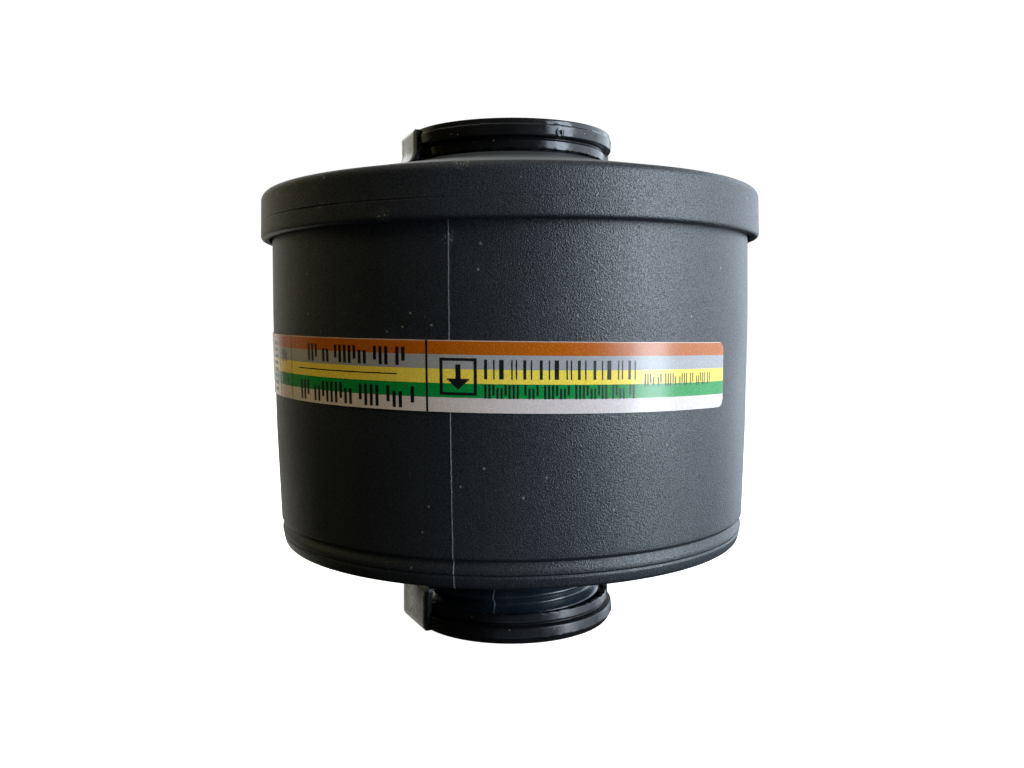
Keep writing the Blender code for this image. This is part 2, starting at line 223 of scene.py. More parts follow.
def settle(piece):
    """Applies the piece's modifiers."""
    graph = bpy.context.evaluated_depsgraph_get()
    mesh = bpy.data.meshes.new_from_object(piece.evaluated_get(graph))
    piece.modifiers.clear()
    piece.data = mesh


def unite(piece, other):
    """Boolean union of two pieces; the second is used up."""
    modifier = piece.modifiers.new("Union", "BOOLEAN")
    modifier.operation = "UNION"
    modifier.object = other
    settle(piece)
    bpy.data.objects.remove(other)


def smooth_noise(values, seed):
    """One smooth random number from about -1 to 1 for each value of a 1-D array."""
    return np.array([noise.noise(Vector((float(v), seed, 0.37 * seed))) for v in values])


# ---------------------------------------------------------------- materials

CHARCOAL = (0.0094, 0.0115, 0.0150)

# Scuffed spots on the housing: centre and reach in mm
SCUFFS = (
    ((-8.0, -53.6, 94.4), 2.2),
    ((-33.0, -42.0, 94.3), 2.0),
    ((-22.4, -50.8, 85.8), 1.5),
    ((-10.6, -52.0, 81.5), 1.6),
)


def new_material(name, colour, roughness, **sockets):
    """A Principled material; sockets names further inputs, with _ for spaces."""
    made = bpy.data.materials.new(name)
    made.use_nodes = True
    shader = made.node_tree.nodes["Principled BSDF"]
    shader.inputs["Base Color"].default_value = (*colour, 1)
    shader.inputs["Roughness"].default_value = roughness
    for key, value in sockets.items():
        shader.inputs[key.replace("_", " ")].default_value = value
    return made


def node(made, kind, **settings):
    """Adds a shader node. Settings are its properties, or its inputs by name with _ for spaces."""
    added = made.node_tree.nodes.new(kind)
    for key, value in settings.items():
        if hasattr(added, key):
            setattr(added, key, value)
        else:
            added.inputs[key.replace("_", " ")].default_value = value
    return added


def link(made, source, target):
    made.node_tree.links.new(source, target)


def shader_of(made):
    return made.node_tree.nodes["Principled BSDF"]


def coordinates(made, kind="Object"):
    return node(made, "ShaderNodeTexCoord").outputs[kind]


def noise_node(made, scale, detail=2.0, roughness=0.5):
    texture = node(made, "ShaderNodeTexNoise", Scale=scale, Detail=detail, Roughness=roughness)
    link(made, coordinates(made), texture.inputs["Vector"])
    return texture.outputs["Fac"]


def voronoi_node(made, scale, feature="F1"):
    texture = node(made, "ShaderNodeTexVoronoi", Scale=scale, feature=feature)
    link(made, coordinates(made), texture.inputs["Vector"])
    return texture.outputs["Distance"]


def maths(made, operation, first, second=0):
    """A Math node; first and second are numbers or sockets."""
    step = node(made, "ShaderNodeMath", operation=operation)
    for socket, value in zip(step.inputs, (first, second)):
        if isinstance(value, (int, float)):
            socket.default_value = value
        else:
            link(made, value, socket)
    return step.outputs[0]


def ramp(made, source, stops, blend="LINEAR"):
    """A colour ramp through (position, colour) stops."""
    added = node(made, "ShaderNodeValToRGB")
    added.color_ramp.interpolation = blend
    elements = added.color_ramp.elements
    while len(elements) < len(stops):
        elements.new(0.5)
    for element, (position, colour) in zip(elements, stops):
        element.position = position
        element.color = (*colour, 1)
    link(made, source, added.inputs["Fac"])
    return added.outputs["Color"]


def remap(made, source, low, high, new_low, new_high):
    """Takes low..high to new_low..new_high, and holds the end values outside."""
    added = node(
        made, "ShaderNodeMapRange", From_Min=low, From_Max=high, To_Min=new_low, To_Max=new_high
    )
    link(made, source, added.inputs["Value"])
    return added.outputs["Result"]


def mixed(made, factor, first, second):
    """Colour mix; first and second are colours or sockets."""
    added = node(made, "ShaderNodeMix", data_type="RGBA")
    link(made, factor, added.inputs["Factor"])
    for socket, value in ((added.inputs[6], first), (added.inputs[7], second)):
        if isinstance(value, tuple):
            socket.default_value = (*value, 1)
        else:
            link(made, value, socket)
    return added.outputs[2]


def bump(made, height, strength, distance_mm):
    added = node(made, "ShaderNodeBump", Strength=strength, Distance=distance_mm * MM)
    link(made, height, added.inputs["Height"])
    link(made, added.outputs["Normal"], shader_of(made).inputs["Normal"])


def seam_mask(made, width_mm):
    """1 on the mould's parting plane, falling to 0 over width_mm; the line wanders a little."""
    across = node(made, "ShaderNodeVectorMath", operation="DOT_PRODUCT")
    link(made, coordinates(made), across.inputs[0])
    across.inputs[1].default_value = (-math.sin(PARTING_ANGLE), math.cos(PARTING_ANGLE), 0)
    drift = maths(made, "MULTIPLY", maths(made, "SUBTRACT", noise_node(made, 600, 2.0), 0.5), 0.25 * MM)
    off = maths(made, "ABSOLUTE", maths(made, "ADD", across.outputs["Value"], drift))
    return remap(made, off, 0.35 * width_mm * MM, width_mm * MM, 1.0, 0.0)


def charcoal_material(seam):
    """Moulded charcoal plastic: fine leather-like grain, specks, scuffs, and upward faces lightened by a
    dust film and painted light from above.

    seam adds a pale thread along the mould's parting plane: pale flash with a painted highlight on its
    ridge.
    """
    pale_speck = (0.20, 0.20, 0.18)
    dust_and_top_light = (0.072, 0.080, 0.088)
    chipped = (0.16, 0.16, 0.15)
    flash_and_highlight = (0.17, 0.18, 0.19)
    made = new_material("charcoal_seamed" if seam else "charcoal_plastic", CHARCOAL, 0.46)
    shader = shader_of(made)
    grain = noise_node(made, 3900, 1.5, 0.6)
    cells = voronoi_node(made, 3300)
    height = maths(made, "ADD", grain, maths(made, "MULTIPLY", cells, 0.5))
    bump(made, height, 1.0, 0.075)
    sparkle = remap(made, grain, 0.35, 0.65, 0.28, 0.78)
    link(made, sparkle, shader.inputs["Specular IOR Level"])
    clouds = noise_node(made, 45, 4.0, 0.6)
    tone = ramp(
        made,
        maths(made, "ADD", maths(made, "MULTIPLY", clouds, 0.5), maths(made, "MULTIPLY", grain, 0.5)),
        [(0.3, tuple(0.75 * c for c in CHARCOAL)), (0.7, tuple(1.3 * c for c in CHARCOAL))],
    )
    dust = voronoi_node(made, 240)
    speck = remap(made, dust, 0.035, 0.065, 0.75, 0.0)
    tone = mixed(made, speck, tone, pale_speck)
    # Upward faces are lightened: a film of dust, and painted light from above.
    split = node(made, "ShaderNodeSeparateXYZ")
    link(made, coordinates(made, "Normal"), split.inputs["Vector"])
    facing_up = remap(made, split.outputs["Z"], 0.90, 0.95, 0.0, 1.0)
    film = maths(made, "MULTIPLY", facing_up, remap(made, clouds, 0.35, 0.65, 0.45, 0.75))
    tone = mixed(made, film, tone, dust_and_top_light)
    for centre, reach in SCUFFS:
        away = node(made, "ShaderNodeVectorMath", operation="DISTANCE")
        link(made, coordinates(made), away.inputs[0])
        away.inputs[1].default_value = tuple(c * MM for c in centre)
        near = remap(made, away.outputs["Value"], 0.5 * reach * MM, reach * MM, 1.0, 0.0)
        chips = remap(made, noise_node(made, 2600, 3.0, 0.7), 0.56, 0.60, 0.0, 1.0)
        tone = mixed(made, maths(made, "MULTIPLY", near, chips), tone, chipped)
    # The seam's pale thread is flash plus a painted highlight on its ridge.
    if seam:
        tone = mixed(made, seam_mask(made, 0.14), tone, flash_and_highlight)
    link(made, tone, shader.inputs["Base Color"])
    link(made, remap(made, clouds, 0.3, 0.7, 0.42, 0.48), shader.inputs["Roughness"])
    return made


def neck_material():
    """The same plastic where the mould was polished: the threaded neck and the collar."""
    made = new_material("polished_plastic", (0.012, 0.017, 0.022), 0.24)
    clouds = noise_node(made, 220, 3.0)
    link(made, remap(made, clouds, 0.3, 0.7, 0.18, 0.30), shader_of(made).inputs["Roughness"])
    bump(made, clouds, 0.25, 0.05)
    tone = ramp(made, clouds, [(0.3, (0.010, 0.015, 0.022)), (0.7, (0.015, 0.022, 0.031))])
    tone = mixed(made, seam_mask(made, 0.17), tone, (0.16, 0.19, 0.22))
    link(made, tone, shader_of(made).inputs["Base Color"])
    return made


def soft_black_material(name, smooth, rough):
    """Soft black plastic with slight waves and scuffs; its roughness runs from smooth to rough."""
    made = new_material(name, (0.006, 0.006, 0.0065), smooth, Specular_IOR_Level=0.37)
    waves = noise_node(made, 160, 2.0)
    scuffs = noise_node(made, 900, 3.0, 0.7)
    bump(made, maths(made, "ADD", waves, maths(made, "MULTIPLY", scuffs, 0.08)), 0.35, 0.12)
    link(made, remap(made, scuffs, 0.35, 0.75, smooth, rough), shader_of(made).inputs["Roughness"])
    dust = voronoi_node(made, 420)
    speck = remap(made, dust, 0.03, 0.06, 1.0, 0.0)
    tone = ramp(made, waves, [(0.3, (0.0045, 0.0045, 0.005)), (0.7, (0.008, 0.008, 0.009))])
    link(made, mixed(made, speck, tone, (0.25, 0.25, 0.24)), shader_of(made).inputs["Base Color"])
    return made


# Stripes of equal height, from the label's lower edge to its upper one
STRIPES = {
    "white": (0.56, 0.49, 0.48),
    "green": (0.001, 0.220, 0.040),
    "yellow": (0.75, 0.575, 0.068),
    "grey": (0.29, 0.285, 0.295),
    "brown": (0.38, 0.090, 0.0018),
}


def label_material():
    """Printed film: five stripes, a pale cut margin, a fine print grain and slight creases."""
    made = new_material("label_film", (0.6, 0.6, 0.6), 0.30)
    shader = shader_of(made)
    split = node(made, "ShaderNodeSeparateXYZ")
    link(made, coordinates(made, "UV"), split.inputs["Vector"])
    edge_noise = maths(made, "MULTIPLY", maths(made, "SUBTRACT", noise_node(made, 3000), 0.5), 0.008)
    across = maths(made, "ADD", split.outputs["Y"], edge_noise)
    stops = [(index / len(STRIPES), colour) for index, colour in enumerate(STRIPES.values())]
    tone = ramp(made, across, stops, "CONSTANT")
    grain = noise_node(made, 3600, 2.0, 0.7)
    shade = remap(made, grain, 0.3, 0.7, 0.86, 1.10)
    tinted = node(made, "ShaderNodeVectorMath", operation="SCALE")
    link(made, tone, tinted.inputs[0])
    link(made, shade, tinted.inputs["Scale"])
    from_middle = maths(made, "ABSOLUTE", maths(made, "SUBTRACT", split.outputs["Y"], 0.5))
    margin = remap(made, from_middle, 0.482, 0.490, 0.0, 0.55)
    edged = mixed(made, margin, tinted.outputs[0], (0.55, 0.52, 0.48))
    link(made, edged, shader.inputs["Base Color"])
    creases = noise_node(made, 90, 3.0, 0.6)
    bump(made, maths(made, "ADD", creases, maths(made, "MULTIPLY", grain, 0.05)), 0.35, 0.10)
    link(made, remap(made, grain, 0.3, 0.7, 0.20, 0.30), shader.inputs["Roughness"])
    return made


def ink_material():
    """Dull black print."""
    made = new_material("black_ink", (0.004, 0.004, 0.004), 0.32)
    grain = noise_node(made, 3600, 2.0, 0.7)
    link(made, remap(made, grain, 0.3, 0.7, 0.24, 0.42), shader_of(made).inputs["Roughness"])
    bump(made, grain, 0.2, 0.03)
    return made


def plain_material(name, colour, roughness, scale, depth_mm, spread=0.12, **sockets):
    """A material with noise of one scale in its tone, roughness and relief."""
    made = new_material(name, colour, roughness, **sockets)
    grain = noise_node(made, scale, 3.0, 0.6)
    darker = tuple(c * (1 - spread) for c in colour)
    lighter = tuple(min(1.0, c * (1 + spread)) for c in colour)
    link(made, ramp(made, grain, [(0.3, darker), (0.7, lighter)]), shader_of(made).inputs["Base Color"])
    low, high = roughness - 0.06, min(1.0, roughness + 0.06)
    link(made, remap(made, grain, 0.3, 0.7, low, high), shader_of(made).inputs["Roughness"])
    bump(made, grain, 0.5, depth_mm)
    return made


def granule_material():
    """Black carbon granules of about 1.2 mm."""
    made = new_material("granules", (0.015, 0.015, 0.015), 0.6)
    cells = voronoi_node(made, 820)
    bump(made, maths(made, "SUBTRACT", 1.0, cells), 1.0, 0.5)
    # Painted shade: each granule is darker towards its edge, in the gaps between granules.
    tone = ramp(made, cells, [(0.0, (0.030, 0.030, 0.032)), (0.6, (0.004, 0.004, 0.004))])
    link(made, tone, shader_of(made).inputs["Base Color"])
    return made


# ---------------------------------------------------------------- housing


def seam_relief(z, angle, radius, seams, height, seed):
    """Thin flash where the mould halves met: a ridge of uneven height along each seam angle.

    It is most ragged just under the lid. The line drifts by a few hundredths of a millimetre.
    """
    width = 0.10
    total = np.zeros_like(z)
    levels, where = np.unique(np.round(z[:, 0], 3), return_inverse=True)
    for index, seam in enumerate(seams):
        swell = smooth_noise(levels * 0.9, seed + index)
        uneven = 0.75 + 0.6 * swell + 0.3 * smooth_noise(levels * 4, seed)
        ragged = 1 + 1.4 * np.exp(-(((levels - 80) / 4) ** 2)) * smooth_noise(levels * 2.5, seed + 7)
        drift = 0.05 * smooth_noise(levels * 0.35, seed + 3)
        arc = ((angle - seam + math.pi) % math.tau - math.pi) * radius
        shape = np.exp(-(((arc - drift[where][:, None]) / width) ** 2))
        total += height * np.clip(uneven * ragged, 0.1, 2.2)[where][:, None] * shape
    return total


def canister_body():
    """Cup with a grooved foot and the threaded neck."""
    root = NECK_CREST_RADIUS - THREAD_DEPTH
    floor_top = CUP_BOTTOM_Z + FLOOR
    corners = [
        (CUP_TOP_RADIUS - WALL, CUP_TOP_Z, 0.4),
        (CUP_TOP_RADIUS, CUP_TOP_Z, 0.4),
        (SWELL_RADIUS, SWELL_Z, 200),
        (WAIST_RADIUS, WAIST_Z, 200),
        (SHOULDER_RADIUS, SHOULDER_Z, 0.4),
        (SHOULDER_RADIUS - 0.72, SHOULDER_Z - 0.6, 0.2),
        (SHOULDER_RADIUS - 0.62, SHOULDER_Z - 1.1, 0.3),
        (SHOULDER_RADIUS - 0.18, SHOULDER_Z - 2.0, 1.5),
        (SHOULDER_RADIUS - 0.25, SHOULDER_Z - 2.8, 0.25),
        (CUP_BOTTOM_RADIUS, CUP_BOTTOM_Z + 2.55, 0.12),
        (CUP_BOTTOM_RADIUS + 0.15, CUP_BOTTOM_Z + 2.1, 0.3),
        (CUP_BOTTOM_RADIUS - 0.4, CUP_BOTTOM_Z, 1.1),
        (root, CUP_BOTTOM_Z, 1.6),
        (root, NECK_END_Z, 0.6),
        (NECK_BORE_RADIUS, NECK_END_Z, 0.4),
        (NECK_BORE_RADIUS, floor_top - SCREEN_SEAT_DEPTH),
        (SCREEN_SEAT_RADIUS, floor_top - SCREEN_SEAT_DEPTH),
        (SCREEN_SEAT_RADIUS, floor_top),
        (cup_radius(floor_top) - WALL - 0.2, floor_top, 1.2),
    ]

    def spacing(r, z):
        """Close rows on the thread, wider ones up the wall, and few inside."""
        if z < CUP_BOTTOM_Z and r > NECK_BORE_RADIUS + 0.5:
            return 0.17
        return 0.9 if r > cup_radius(z) - 0.5 else 6.0

    outline = densified(rounded(corners), True, spacing)
    seams = (PARTING_ANGLE, PARTING_ANGLE + math.pi)

    def relief(r, z, angle):
        """The neck's thread, and the flash of both seams all down the outside."""
        on_neck = (z < CUP_BOTTOM_Z) & (r > NECK_BORE_RADIUS + 0.8) & (r < NECK_CREST_RADIUS + 2)
        turn = (z - THREAD_PHASE_Z) / THREAD_PITCH - ((angle - FRONT) % math.tau + FRONT) / math.tau
        run_in = np.clip((z - NECK_END_Z - 0.6) / 1.8, 0, 1)
        run_out = np.clip((CUP_BOTTOM_Z - 1.2 - z) / 1.5, 0, 1)
        thread = THREAD_DEPTH * (0.5 + 0.5 * np.cos(math.tau * turn)) * run_in * run_out
        outside = (r > cup_radius(z) - 1.0) | on_neck | ((z < CUP_BOTTOM_Z + 0.5) & (r > 20))
        flash = seam_relief(z, angle, np.maximum(r, 19), seams, 0.085, 11.0)
        return np.where(on_neck, thread, 0) + np.where(outside, flash, 0)

    body = turned("canister_body_shell", outline, turning_angles(360, seams), relief)
    sharpen(body, 50)
    body.data.materials.append(charcoal_seamed)
    body.data.materials.append(polished)
    for face in body.data.polygons:
        centre = face.center / MM
        on_neck = centre.z < CUP_BOTTOM_Z - 0.02 and centre.xy.length < 21.5
        face.material_index = int(on_neck)
    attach(body, "canister")
    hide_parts("canister_body")


def canister_lid():
    """Skirt with a faint horizontal witness line, low cone and inlet collar."""
    under_collar = COLLAR_FOOT_Z - LID_THICKNESS - 0.9
    corners = [
        (COLLAR_BORE_RADIUS, COLLAR_TOP_Z, 0.35),
        (COLLAR_RADIUS, COLLAR_TOP_Z, 0.5),
        (COLLAR_RADIUS, COLLAR_FOOT_Z + 0.1, 0.3),
        (COLLAR_FOOT_RADIUS, COLLAR_FOOT_Z, 0.5),
        (CONE_TOP_RADIUS, CONE_TOP_Z, 3.0),
        (RIM_RADIUS - 0.1, LID_SHOULDER_Z - 0.2, 1.8),
        (RIM_RADIUS - 0.06, WITNESS_Z + 0.6),
        (RIM_RADIUS - 0.05, WITNESS_Z - 0.7),
        (RIM_RADIUS, SKIRT_BOTTOM_Z, 0.9),
        (SKIRT_INNER_RADIUS, SKIRT_BOTTOM_Z, 0.4),
        (SKIRT_INNER_RADIUS, LID_SHOULDER_Z - LID_THICKNESS),
        (CONE_TOP_RADIUS, CONE_TOP_Z - LID_THICKNESS),
        (COLLAR_FOOT_RADIUS - 1.5, under_collar),
        (COLLAR_BORE_RADIUS, under_collar),
    ]

    def spacing(r, z):
        """Rows close enough at the witness line for its relief to show."""
        if r > RIM_RADIUS - 1.0:
            return 0.07 if abs(z - WITNESS_Z) < 0.3 else 0.6
        return 2.0

    def relief(r, z, angle):
        """A fine broken line where a mould insert ended, clearest on the left of the front."""
        outside = r > RIM_RADIUS - 0.8
        from_left = (angle - FRONT + math.pi) % math.tau - math.pi + math.radians(38)
        strength = 0.15 + 0.85 * np.exp(-((from_left / 0.42) ** 4))
        broken = np.clip(0.7 + 1.6 * smooth_noise(angle[0] * 9, 3.0), 0, 1)[None, :]
        ridge = 0.07 * np.exp(-(((z - WITNESS_Z) / 0.12) ** 2))
        groove = 0.16 * np.exp(-(((z - WITNESS_Z + 0.26) / 0.14) ** 2))
        return np.where(outside, (ridge - groove) * strength * broken, 0)

    outline = densified(rounded(corners), True, spacing)
    lid = turned("canister_lid_shell", outline, turning_angles(360), relief)
    sharpen(lid, 50)
    lid.data.materials.append(charcoal)
    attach(lid, "canister")
    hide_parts("canister_lid")


# ---------------------------------------------------------------- caps

CAP_DEPTH = 6.2
CAP_PLATE = 1.0
CAP_BORE_RADIUS = 20.15
CAP_STEP_RADIUS = 21.3
END_RECESS_DEPTH = 0.25
TAB_THICKNESS = 1.7
TAB_EDGE = 0.35
TAB_CORNER = 0.8
GATE_MARK_ANGLE = FRONT + math.radians(27)
GATE_MARK_DEPTH = 2.8


def rounded_box(name, size, edge, corner):
    """A closed slab: its outline across Y and Z has corners of one radius, its edges another."""
    half = Vector(size) / 2
    work = bmesh.new()
    bmesh.ops.create_cube(work, size=2)
    bmesh.ops.subdivide_edges(work, edges=work.edges, cuts=13, use_grid_fill=True)
    for vertex in work.verts:
        p = Vector(vertex.co[i] * half[i] for i in range(3))
        inner = Vector(
            (
                max(-half.y + corner, min(half.y - corner, p.y)),
                max(-half.z + corner, min(half.z - corner, p.z)),
            )
        )
        away = Vector((p.y, p.z)) - inner
        if away.x and away.y:
            reach = max(abs(away.x), abs(away.y))
            away = away.normalized() * reach
            p.y, p.z = inner + away
        rim = 0.0
        if away.length > corner - edge:
            rim = (away.length - (corner - edge)) / edge
        limit = half.x - edge * (1 - math.sqrt(max(0.0, 1 - min(1.0, rim) ** 2)))
        p.x = max(-limit, min(limit, p.x))
        vertex.co = p
    mesh = bpy.data.meshes.new(name)
    work.to_mesh(mesh)
    work.free()
    return add_piece(name, mesh)


def cap(name, end_z, inward, tabs, flange, end_inset, end_rounding, mark_height, made):
    """Soft cap with two opposite pull tabs, closed at end_z.

    inward is +1 where the mouth is above the end face and -1 where it is below. Each of tabs holds a
    face angle, face distance, sideways shift, width and length, and how far its tip bends out. flange
    is the cap's widest radius; at the end face the radius is end_inset less, with a rounded edge.
    mark_height is how far the ring round the moulding's gate stands proud.
    """
    corners = [
        (0.0, CAP_PLATE),
        (CAP_BORE_RADIUS, CAP_PLATE, 0.3),
        (CAP_BORE_RADIUS, 3.6, 1.0),
        (20.85, 4.6, 1.0),
        (20.95, CAP_DEPTH, 0.25),
        (21.65, CAP_DEPTH, 0.25),
        (21.85, 4.3, 0.3),
        (CAP_STEP_RADIUS, 4.0, 0.15),
        (CAP_STEP_RADIUS, 3.8, 0.1),
        (flange - 0.2, 3.5, 0.3),
        (flange, 1.4, 0.3),
        (flange - 0.25, 1.15, 0.1),
        (flange - end_inset, 0.0, end_rounding),
        (18.4, 0.0, 0.15),
        (18.1, END_RECESS_DEPTH, 0.15),
        (0.0, END_RECESS_DEPTH),
    ]
    placed = [(c[0], end_z + inward * c[1], *c[2:]) for c in corners]
    if inward < 0:
        placed.reverse()
    outline = densified(rounded(placed, 0.15), False, lambda r, z: 0.25 if r > 20 else 3.0)

    def relief(r, z, angle):
        """Nicks round the mouth, the gate mark, and waves that fade out at the end face."""
        depth = (z - end_z) * inward
        wave = 0.03 * np.sin(5 * angle + 0.7) + 0.02 * np.sin(11 * angle + 2.0)
        levels = smooth_noise(angle[0] * 16, 5.0) + 0.6 * smooth_noise(angle[0] * 37, 9.0)
        nicks = -0.7 * np.clip(levels[None, :], 0, 1)
        at_mouth = np.clip((depth - (CAP_DEPTH - 0.25)) / 0.2, 0, 1)
        lip = 0.10 * levels[None, :] * np.exp(-(((depth - 1.2) / 0.25) ** 2))
        from_mark = np.hypot((angle - GATE_MARK_ANGLE % math.tau) * r, depth - GATE_MARK_DEPTH)
        mark = np.exp(-(((from_mark - 0.62) / 0.26) ** 2)) - 1.1 * np.exp(-((from_mark / 0.35) ** 2))
        uneven = (wave + lip) * np.clip(depth / 0.5, 0, 1)
        return np.where(r > 20.5, uneven + nicks * at_mouth + mark_height * mark, 0)

    angles = turning_angles(320)
    near_mark = GATE_MARK_ANGLE % math.tau + np.radians(np.arange(-3.5, 3.6, 0.35))
    piece = turned(name, outline, np.unique(np.concatenate([angles, near_mark])), relief)
    for face_angle, distance, shift, width, length, bend in tabs:
        flatten_flange(piece, face_angle, distance - 0.2, shift, width)
        spin = Matrix.Rotation(face_angle, 4, "Z")
        plate = rounded_box("tab", (TAB_THICKNESS, width, length), TAB_EDGE, TAB_CORNER)
        for vertex in plate.data.vertices:
            depth = vertex.co.z + length / 2
            vertex.co.x += bend * max(0.0, (depth - 0.55 * length) / (0.45 * length)) ** 2
            vertex.co.x += 0.12 * math.sin(0.5 * vertex.co.y + 1.0) * depth / length
        move = Matrix.Translation((distance - TAB_THICKNESS / 2, -shift, end_z + inward * length / 2))
        flip = Matrix.Diagonal((1, 1, inward, 1))
        plate.data.transform(Matrix.Scale(MM, 4) @ spin @ move @ flip)
        web = rounded_box("web", (distance - 20.9, width - 0.5, 3.4), 0.4, 0.7)
        move = Matrix.Translation(((distance + 20.1) / 2, -shift, end_z + inward * 1.85))
        web.data.transform(Matrix.Scale(MM, 4) @ spin @ move)
        for part in (plate, web):
            fix_normals(part)
            unite(piece, part)
    piece.data.shade_smooth()
    sharpen(piece, 38)
    piece.data.materials.clear()
    piece.data.materials.append(made)
    return piece


def fix_normals(piece):
    """Points the faces out, because a mirrored transform turns them in."""
    work = bmesh.new()
    work.from_mesh(piece.data)
    bmesh.ops.recalc_face_normals(work, faces=work.faces)
    work.to_mesh(piece.data)
    work.free()


def flatten_flange(piece, side, distance, shift, width):
    """Presses the flange flat behind a tab, so that it doesn't come through the tab's face."""
    out = Vector((math.cos(side), math.sin(side)))
    across = Vector((-out.y, out.x))
    for vertex in piece.data.vertices:
        flat = vertex.co.xy / MM
        if abs(flat.dot(across) + shift) < width / 2 and flat.dot(out) > distance:
            flat -= out * (flat.dot(out) - distance)
            vertex.co.x, vertex.co.y = flat * MM


def caps():
    """Both caps. Their tabs differ in length and bend; cap says what each value is."""
    upper_tabs = (
        (math.radians(200), 23.7, 1.4, 13.4, 7.6, 1.6),
        (math.radians(20), 23.9, -3.1, 13.4, 7.0, 0.6),
    )
    inlet = cap(
        "inlet_cap_shell",
        end_z=HEIGHT + 0.12,
        inward=-1,
        tabs=upper_tabs,
        flange=23.35,
        end_inset=0.4,
        end_rounding=0.3,
        mark_height=0.13,
        made=glossy_black,
    )
    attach(inlet, "inlet_closure")
    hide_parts("inlet_cap")
    lower_tabs = (
        (math.radians(205), 22.9, 3.0, 16.0, 9.6, -0.5),
        (math.radians(22), 23.2, -3.1, 13.4, 9.0, 0.0),
    )
    outlet = cap(
        "outlet_cap_shell",
        end_z=0.0,
        inward=1,
        tabs=lower_tabs,
        flange=22.75,
        end_inset=0.85,
        end_rounding=0.8,
        mark_height=0.0,
        made=satin_black,
    )
    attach(outlet, "outlet_closure")
    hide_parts("outlet_cap")


# ---------------------------------------------------------------- label


def label_point(across_angle, height, lift):
    """Point on the label, from an angle right of the front, a height and a lift off the cup.

    The height counts from the label's middle line.
    """
    middle = LABEL_MIDDLE_Z - LABEL_FALL * across_angle * cup_radius(LABEL_MIDDLE_Z)
    z = middle + height
    angle = FRONT + across_angle
    radius = cup_radius(z) + lift
    return Vector((radius * math.cos(angle), radius * math.sin(angle), z))


def label_patch(work, left, right, bottom, top, lift, thickness, corner=0.0, uv=None):
    """Adds a thin closed patch that follows the cup, between two angles and two heights.

    corner rounds its corners; uv, a layer, gets how far along and across the label each point is.
    """
    radius = cup_radius(LABEL_MIDDLE_Z)
    columns = max(2, math.ceil((right - left) / math.radians(1.2)))
    stations = [left + (right - left) * step / columns for step in range(columns + 1)]
    if corner:
        turns = [corner / radius * (1 - math.cos(math.radians(a))) for a in range(15, 91, 15)]
        stations += [left + t for t in turns] + [right - t for t in turns]
    stations = sorted(set(round(s, 7) for s in stations))
    rows = max(1, math.ceil((top - bottom) / 1.3))
    layers = []
    for layer_lift in (lift + thickness, lift):
        grid = []
        for station in stations:
            inset = 0.0
            from_end = min(station - left, right - station) * radius
            if from_end < corner:
                inset = corner - math.sqrt(max(0.0, corner**2 - (corner - from_end) ** 2))
            column = []
            for row in range(rows + 1):
                height = bottom + inset + (top - bottom - 2 * inset) * row / rows
                column.append(work.verts.new(label_point(station, height, layer_lift) * MM))
            grid.append(column)
        layers.append(grid)
    faces = []
    outer, inner = layers

    def add_quad(*corners):
        faces.append(work.faces.new(corners))

    for i in range(len(stations) - 1):
        for j in range(rows):
            add_quad(outer[i][j], outer[i + 1][j], outer[i + 1][j + 1], outer[i][j + 1])
            add_quad(inner[i][j], inner[i][j + 1], inner[i + 1][j + 1], inner[i + 1][j])
        add_quad(outer[i][0], inner[i][0], inner[i + 1][0], outer[i + 1][0])
        add_quad(outer[i][rows], outer[i + 1][rows], inner[i + 1][rows], inner[i][rows])
    for j in range(rows):
        add_quad(outer[0][j], outer[0][j + 1], inner[0][j + 1], inner[0][j])
        add_quad(outer[-1][j], inner[-1][j], inner[-1][j + 1], outer[-1][j + 1])
    if uv:
        for face in faces:
            for loop in face.loops:
                place = loop.vert.co / MM
                angle = (math.atan2(place.y, place.x) - FRONT + math.pi) % math.tau - math.pi
                if angle > LABEL_RIGHT_END + 0.1:
                    angle -= math.tau
                middle = LABEL_MIDDLE_Z - LABEL_FALL * angle * cup_radius(LABEL_MIDDLE_Z)
                along = (angle - LABEL_RIGHT_END) / LABEL_SWEEP + 1
                loop[uv].uv = (along, (place.z - middle) / LABEL_WIDTH + 0.5)


def finish_patch(name, work, made):
    """Makes the patches in work one piece of the label, on the canister."""
    bmesh.ops.recalc_face_normals(work, faces=work.faces)
    mesh = bpy.data.meshes.new(name)
    work.to_mesh(mesh)
    work.free()
    piece = add_piece(name, mesh)
    sharpen(piece, 40)
    mesh.materials.append(made)
    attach(piece, "canister")
    return piece


def identification_label():
    """The striped film, wrapped most of the way round the cup."""
    work = bmesh.new()
    uv = work.loops.layers.uv.new("UVMap")
    half = LABEL_WIDTH / 2
    left = LABEL_RIGHT_END - LABEL_SWEEP
    label_patch(work, left, LABEL_RIGHT_END, -half, half, LABEL_LIFT, LABEL_THICKNESS, LABEL_CORNER, uv)
    label = finish_patch("label_strip", work, label_material())
    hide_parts("identification_label")


# Upright rules between the label's panels: middle and width, in degrees right of the front
PANEL_RULES = ((-16.2, 0.42), (-54.7, 0.22), (-62.5, 0.22), (-71.0, 0.22), (-98, 0.3), (-136, 0.3))


